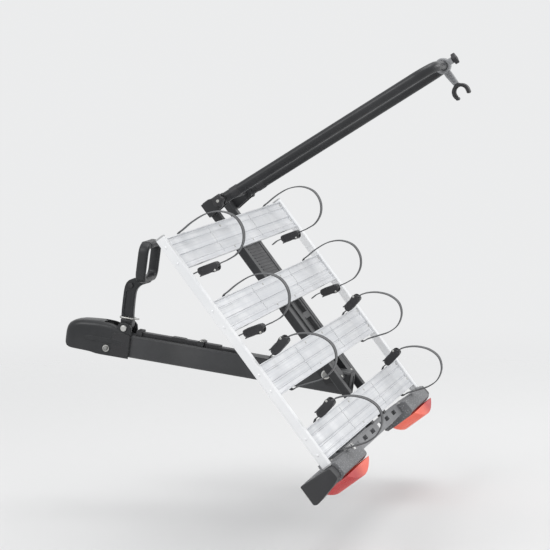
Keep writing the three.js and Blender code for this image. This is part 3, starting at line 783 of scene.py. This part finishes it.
def buckles():
    base = prism([(-7.6, 2), (-6.4, 1), (5.6, 1), (8.2, 5), (8.6, 20), (8.4, 30), (6.4, 33), (6.4, 48.6), (5, 51), (-5.4, 51), (-7.8, 47.4)],
                 -12.9, 12.9, "y", 0.9, 2)
    base = cut(base, slab(-2.3, 2.3, -11.6, 11.6, -10, 60, 0.0))
    cheek = [(-8.6, 8), (-7.6, 3.4), (-4.6, 0.4), (3, -0.6), (8.4, 1.4), (11.6, 6), (12.6, 14), (12.9, 28), (14.2, 35), (15.6, 40), (15.4, 45), (13, 49.4), (8.6, 52), (2, 52.8), (-4.4, 51.8), (-7.8, 48), (-8.8, 40)]
    cheeks = [prism(cheek, 12.7, 16.4, "y", 1.3, 3, 50), prism(cheek, -16.4, -12.7, "y", 1.3, 3, 50)]
    wells = [prism(rounded(-5.2, 8.2, 7, 30, 4, 5), 15.3, 18, "y"), prism(rounded(-5.2, 8.2, 7, 30, 4, 5), -18, -15.3, "y")]
    cheeks = [cut(cheeks[0], wells[0]), cut(cheeks[1], wells[1])]
    tab = [slab(6.2, 9.4, -8, 8, 1.2, 6.4, 0.8)]
    body = merged(base, *cheeks, *tab)
    pin = along_y(lathe([(0, -17.6), (2.2, -17.6), (3.1, -17), (3.1, -16.3), (2.0, -16.3), (2.0, 16.3), (3.1, 16.3), (3.1, 17), (2.2, 17.6), (0, 17.6)], 24), 11.4, 0, 43.2)
    wheel_pts = []
    for k in range(12):
        w = 2 * math.pi * k / 12
        wheel_pts += [(3.7 * math.cos(w), 3.7 * math.sin(w)), (5.0 * math.cos(w + 0.18), 5.0 * math.sin(w + 0.18))]
    wheel = [prism([(7.2 + x * 0.0 + x, 43.2 + z) for x, z in wheel_pts], y0, y1, "y") for y0, y1 in ((-12.4, -9.4), (9.4, 12.4))]
    for w in wheel:
        w.transform(shift(0, 0, 0))
    paddle = prism([(9.9, 4), (11.4, 0.6), (12.7, -0.9), (14.6, -0.2), (14.9, 1.6), (13.9, 5.4), (13.5, 9), (13.4, 36), (14.4, 40.6), (14.2, 44.4),
                    (12.4, 46), (10, 44.4), (9.7, 40)], -12.1, 12.1, "y", 0.8, 3)
    ribs = [slab(13.0, 14.5, -9.4, 9.4, 6.5 + 3.6 * k, 8.1 + 3.6 * k, 0.5) for k in range(5)]
    plate = prism(rounded(-8.6, 8.6, 26, 35.4, 2, 4), 13.0, 13.9, "x", 0.4, 2)
    lever_mesh = merged(paddle, *ribs, plate)
    store = {}
    for key, bm in (("body", body), ("pin", pin), ("lever", lever_mesh)):
        store[key] = bm
    for w in wheel:
        w.free()
    for i, tag, u in STRAPS:
        m = buckle_frame(i, u)
        k = f"{i + 1}_{tag}"
        piece(f"buckle_body_{k}", store["body"].copy(), m, "platform", "plastic", (f"buckle_{k}",))
        piece(f"buckle_pin_{k}", store["pin"].copy(), m, "platform", "zinc")
        piece(f"buckle_paddle_{k}", store["lever"].copy(), m, f"buckle_lever_{k}", "paddle", (f"buckle_lever_{k}",))
    for bm in store.values():
        bm.free()


def mast():
    y, r, rad = 137.0, 60.0, 14.0
    path = [(0, -y, z) for z in (-16, 20, 120, 300, 480, TOP - r)]
    path += [(0, -y + r * (1 - math.cos(a * D)), TOP - r + r * math.sin(a * D)) for a in range(5, 90, 5)]
    path += [(0, -y + r, TOP), (0, -30, TOP), (0, 30, TOP), (0, y - r, TOP)]
    path += [(0, y - r * (1 - math.cos(a * D)), TOP - r + r * math.sin(a * D)) for a in range(85, 0, -5)]
    path += [(0, y, z) for z in (TOP - r, 480, 300, 120, 20, -16)]
    circle = [(rad * math.cos(2 * math.pi * k / 32), rad * math.sin(2 * math.pi * k / 32)) for k in range(32)]
    tube = sweep(path, (1, 0, 0), circle)
    piece("mast_tube", tube, MAST, "mast", "steel", ("mast_hoop",))
    plugs = [at(lathe([(0, -21), (9, -20.6), (12.4, -19), (13.6, -16.4), (13.6, -15.8), (0, -15.8)], 32), shift(0, s * y, 0)) for s in (-1, 1)]
    collars = [at(lathe([(14.0, -12), (15.4, -11.2), (15.4, 11.2), (14.0, 12)], 36, True), shift(0, s * y, 44)) for s in (-1, 1)]
    piece("mast_foot_plugs", merged(*plugs), MAST, "mast", "plastic")
    piece("mast_collars", merged(*collars), MAST, "mast", "plastic")
    # cross pin with a lobed knob on each end, on the mast's own axis
    outline = []
    for k in range(90):
        w = 2 * math.pi * k / 90
        rr = 15.4 + 1.9 * math.cos(5 * w)
        outline.append((rr * math.cos(w), rr * math.sin(w)))
    small = [(x * 0.62, z * 0.62) for x, z in outline]
    parts = [along_y(lathe([(0, -160), (5, -160), (5, 160), (0, 160)], 32), -88, 0, 30)]
    for flip in (False, True):
        k1 = merged(prism(outline, 161, 178, "z", 2.6, 3, 40), lathe([(5, 157.6), (11, 157.6), (11.6, 158.4), (11.6, 162), (5, 162)], 36, True),
                    prism(small, 177.4, 179.2, "z", 0.8, 2, 40))
        parts.append(along_y(k1, -88, 0, 30, flip))
    piece("mast_cross_pin", merged(*parts), DECK, "mast_pin", "plastic", ("mast_pin",))
    studs = [along_y(lathe([(0, 178.6), (4.2, 178.6), (4.2, 180.2), (3.4, 181), (0, 181)], 24), -88, 0, 30, f) for f in (False, True)]
    piece("mast_pin_studs", merged(*studs), DECK, "mast_pin", "zinc")


def holder():
    hy = 40.0
    ring = lathe([(14.5, -13), (18.6, -13), (20.6, -11.4), (20.9, -9), (20.9, 9), (20.6, 11.4), (18.6, 13), (14.5, 13)], 48, True)
    ring = along_y(ring, 0, hy, TOP)
    arm = prism([(17, TOP - 9), (30, TOP - 8.4), (60.2, TOP - 2.4), (60.2, TOP + 12.2), (30, TOP + 10.6), (17, TOP + 9)], hy - 8, hy + 8, "y", 2.0, 3)
    arm = cut(arm, prism([(25, TOP - 3), (54, TOP + 1.6), (54, TOP + 7.6), (25, TOP + 5)], hy + 5, hy + 12, "y"),
              prism([(25, TOP - 3), (54, TOP + 1.6), (54, TOP + 7.6), (25, TOP + 5)], hy - 12, hy - 5, "y"))
    ears = [prism(rounded(-8, 8, TOP + 17, TOP + 29.5, 3, 4), hy + y0, hy + y1, "y", 0.8, 2) for y0, y1 in ((-12, -6), (6, 12))]
    piece("holder_clamp_arm", merged(ring, arm, *ears), MAST, "holder", "holder", ("holder_arm",))
    cx, cz = 84.0, TOP + 5
    path = [(cx + 20 * math.cos(a * D), hy, cz + 20 * math.sin(a * D)) for a in range(62, 303, 6)]
    claw = sweep(path, (0, 1, 0), [(-14, -2.2), (-12.6, -3.5), (12.6, -3.5), (14, -2.2), (14, 2.2), (12.6, 3.5), (-12.6, 3.5), (-14, 2.2)])
    root = slab(60.4, 67, hy - 10, hy + 10, TOP - 4, TOP + 14, 1.6, 3)
    piece("holder_claw", merged(claw, root), MAST, "holder", "plastic", ("holder_jaw",))
    pad_path = [(cx + 15.6 * math.cos(a * D), hy, cz + 15.6 * math.sin(a * D)) for a in range(70, 291, 4)]
    pad = sweep(pad_path, (0, 1, 0), [(-12.5, -0.9), (12.5, -0.9), (12.5, 0.9), (-12.5, 0.9)],
                shape=lambda i, s: [(u, w * (1.15 if i % 3 else 0.6)) for u, w in s])
    piece("holder_pad", pad, MAST, "holder", "rubber")
    tips = [at(along_y(lathe([(0, -13), (4.0, -13), (4.6, -12), (4.6, 12), (4.0, 13), (0, 13)], 28), 0, hy, 0),
               shift(cx + 20 * math.cos(a * D), 0, cz + 20 * math.sin(a * D))) for a in (62, 302)]
    piece("holder_tips", merged(*tips), MAST, "holder", "plastic")
    outline = []
    for k in range(72):
        w = 2 * math.pi * k / 72
        rr = 13.6 + 1.5 * math.cos(4 * w)
        outline.append((rr * math.cos(w), rr * math.sin(w)))
    knob = merged(prism(outline, TOP + 31, TOP + 43, "z", 2.4, 3, 40), lathe([(0, TOP + 21.5), (5, TOP + 21.5), (5, TOP + 28), (9, TOP + 29), (9, TOP + 31.5), (0, TOP + 31.5)], 32),
                  lathe([(0, TOP + 42.4), (5.5, TOP + 42.4), (5, TOP + 43.8), (0, TOP + 44)], 28))
    piece("holder_clamp_knob", at(knob, shift(0, hy, 0)), MAST, "holder_knob", "plastic", ("holder_knob",))


def lamps():
    keep("plate_board", "board", 0.9, 3)
    u = 325.0
    # number plate ground with four screws, no marks
    piece("plate_ground", prism(rounded(-262, 262, -101, -18, 5, 5), 656.0, 657.6, "x", 0.5, 2), TRAY, "platform", "ground")
    sc = [at(screw(3.6, 2.2), shift(657.4, y, z) @ turn(90, "Y")) for y in (-230, 230) for z in (-30, -88)]
    piece("plate_ground_screws", merged(*sc), TRAY, "platform", "zinc")
    for tag, sgn in (("left", -1), ("right", 1)):
        def span(a, b):
            return (a, b) if sgn > 0 else (-b, -a)

        h0, h1 = span(u, 601)
        shell = prism([(628.5, -79), (629.4, 10), (633, 14), (664, 16), (669, 13.6), (674, 0), (674.6, -40), (674, -76), (668, -82), (632, -81)], h0, h1, "y", 3.0, 4, 18)
        i0, i1 = span(u + 4, 597)
        shell = cut(shell, prism([(633, -76), (634, 8), (664, 11), (700, 11), (700, -76)], i0, i1, "y"))
        piece(f"lamp_body_{tag}", shell, TRAY, "platform", "lamp", (f"lamp_housing_{tag}",))
        back = merged(prism(rounded(*sorted(span(u + 5, 596)), -72, 8, 6, 5), 636, 640, "x", 1.0, 2))
        piece(f"lamp_reflector_{tag}", back, TRAY, "platform", "white")
        c0, c1 = span(601.4, 649.5)
        cap = prism([(629, -80), (631, -30), (633, 3), (637, 6.4), (660, 9), (665, 7), (669, 0), (674, -14), (687, -66), (687.6, -73), (683, -80)], c0, c1, "y", 5.5, 5, 16)
        piece(f"lamp_end_cap_{tag}", cap, TRAY, "platform", "plastic", (f"lamp_cap_{tag}",))
        l0, l1 = span(u + 4, 597)
        arc = []
        steps = 176
        for k in range(steps + 1):
            t = k / steps
            flute = 0.7 * abs(math.sin(math.pi * 44 * t)) if 0.04 < t < 0.96 else 0.0
            arc.append((674.6 + 27.2 * math.sin(math.pi * t) ** 0.9 + flute, l0 + (l1 - l0) * t))
        lens = prism([(674.6, l0)] + arc[1:-1] + [(674.6, l1)], -60, 16, "z", 0.0)
        ring = [e for e in lens.edges if len(e.link_faces) == 2 and abs(e.verts[0].co.z - e.verts[1].co.z) < 1e-6 and e.verts[0].co.x > 674.7]
        bmesh.ops.bevel(lens, geom=ring, offset=3.0, offset_type="OFFSET", segments=4, profile=0.5, affect="EDGES", clamp_overlap=True)
        piece(f"lamp_lens_cover_{tag}", lens, TRAY, "platform", "lens", (f"lamp_lens_{tag}",), 30)
        # screws in the housing's front face
        sc = [at(screw(3.4, 2.0), shift(628.8, y, z) @ turn(-90, "Y")) for y in (sgn * 345, sgn * 580) for z in (-8, -64)]
        piece(f"lamp_screws_{tag}", merged(*sc), TRAY, "platform", "zinc")
    clip = merged(slab(622, 640, -402, -386, 13.6, 17.2, 1.0), slab(622, 628.3, -402, -386, -8, 17.2, 1.0))
    piece("lamp_clip", clip, TRAY, "platform", "white")


coupler()
lever()
drawbar()
platform()
rails_and_trays()
straps()
buckles()
mast()
holder()
lamps()

# ---- stage, light and camera -------------------------------------------------------------------
FLOOR = -0.45


def stage():
    bm = bmesh.new()
    rings = []
    radii = [0, 0.6, 1.2, 2, 3, 4.5, 6, 8, 11, 15, 20]
    centre = bm.verts.new((0.6, 0, FLOOR))
    for r in radii[1:]:
        rings.append([bm.verts.new((0.6 + r * math.cos(k * math.pi / 36), r * math.sin(k * math.pi / 36), FLOOR)) for k in range(72)])
    for k in range(72):
        bm.faces.new((centre, rings[0][k], rings[0][(k + 1) % 72]))
    for a, b in zip(rings, rings[1:]):
        for k in range(72):
            bm.faces.new((a[k], b[k], b[(k + 1) % 72], a[(k + 1) % 72]))
    me = bpy.data.meshes.new("studio_floor")
    bm.to_mesh(me)
    bm.free()
    o = bpy.data.objects.new("studio_floor", me)
    bpy.context.collection.objects.link(o)
    m = bpy.data.materials.new("studio_floor")
    m.use_nodes = True
    n, l = m.node_tree.nodes, m.node_tree.links
    b = n["Principled BSDF"]
    b.inputs["Base Color"].default_value = (0.70, 0.70, 0.70, 1)
    b.inputs["Roughness"].default_value = 0.9
    b.inputs["Specular IOR Level"].default_value = 0.1
    # the floor fades out far from the object, so no horizon shows
    co = n.new("ShaderNodeTexCoord")
    mp = n.new("ShaderNodeMapping")
    mp.inputs["Location"].default_value = (-0.6, 0, -FLOOR)
    ln = n.new("ShaderNodeVectorMath")
    ln.operation = "LENGTH"
    rg = n.new("ShaderNodeMapRange")
    rg.interpolation_type = "SMOOTHSTEP"
    rg.inputs["From Min"].default_value, rg.inputs["From Max"].default_value = 1.0, 4.2
    rg.inputs["To Min"].default_value, rg.inputs["To Max"].default_value = 1.0, 0.0
    l.new(co.outputs["Object"], mp.inputs["Vector"])
    l.new(mp.outputs[0], ln.inputs[0])
    l.new(ln.outputs["Value"], rg.inputs["Value"])
    l.new(rg.outputs["Result"], b.inputs["Alpha"])
    me.materials.append(m)

    world = bpy.data.worlds.new("studio")
    bpy.context.scene.world = world
    world.use_nodes = True
    n, l = world.node_tree.nodes, world.node_tree.links
    bg = n["Background"]
    bg.inputs["Color"].default_value = (0.835, 0.84, 0.845, 1)
    bg.inputs["Strength"].default_value = 1.0

    def area(name, loc, target, size, power, size_y=None):
        data = bpy.data.lights.new(name, "AREA")
        data.energy, data.size = power, size
        if size_y:
            data.shape, data.size_y = "RECTANGLE", size_y
        lamp = bpy.data.objects.new(name, data)
        bpy.context.collection.objects.link(lamp)
        lamp.location = loc
        lamp.rotation_mode = "QUATERNION"
        lamp.rotation_quaternion = (Vector(target) - Vector(loc)).to_track_quat("-Z", "Y")

    area("key", (-1.6, -3.6, 3.6), (0.6, 0, 0.1), 2.2, 70)
    area("top", (1.2, 0.4, 4.2), (0.7, 0, 0), 2.6, 55)
    area("rim", (3.6, 2.6, 2.2), (0.8, 0, 0.2), 1.6, 30)


stage()

cam_data = bpy.data.cameras.new("camera")
cam = bpy.data.objects.new("camera", cam_data)
bpy.context.collection.objects.link(cam)
cam.location = (1.986, -5.971, 0.881)
centre = (cad_lo + cad_hi) / 2
aim = Vector((0.565, -0.05, 0.215))
cam.rotation_mode = "QUATERNION"
cam.rotation_quaternion = (aim - cam.location).to_track_quat("-Z", "Y")
cam_data.sensor_width = 36
cam_data.lens = 150
cam_data.clip_start, cam_data.clip_end = 0.05, 100
bpy.context.scene.camera = cam
bpy.context.scene.view_settings.view_transform = "Standard"
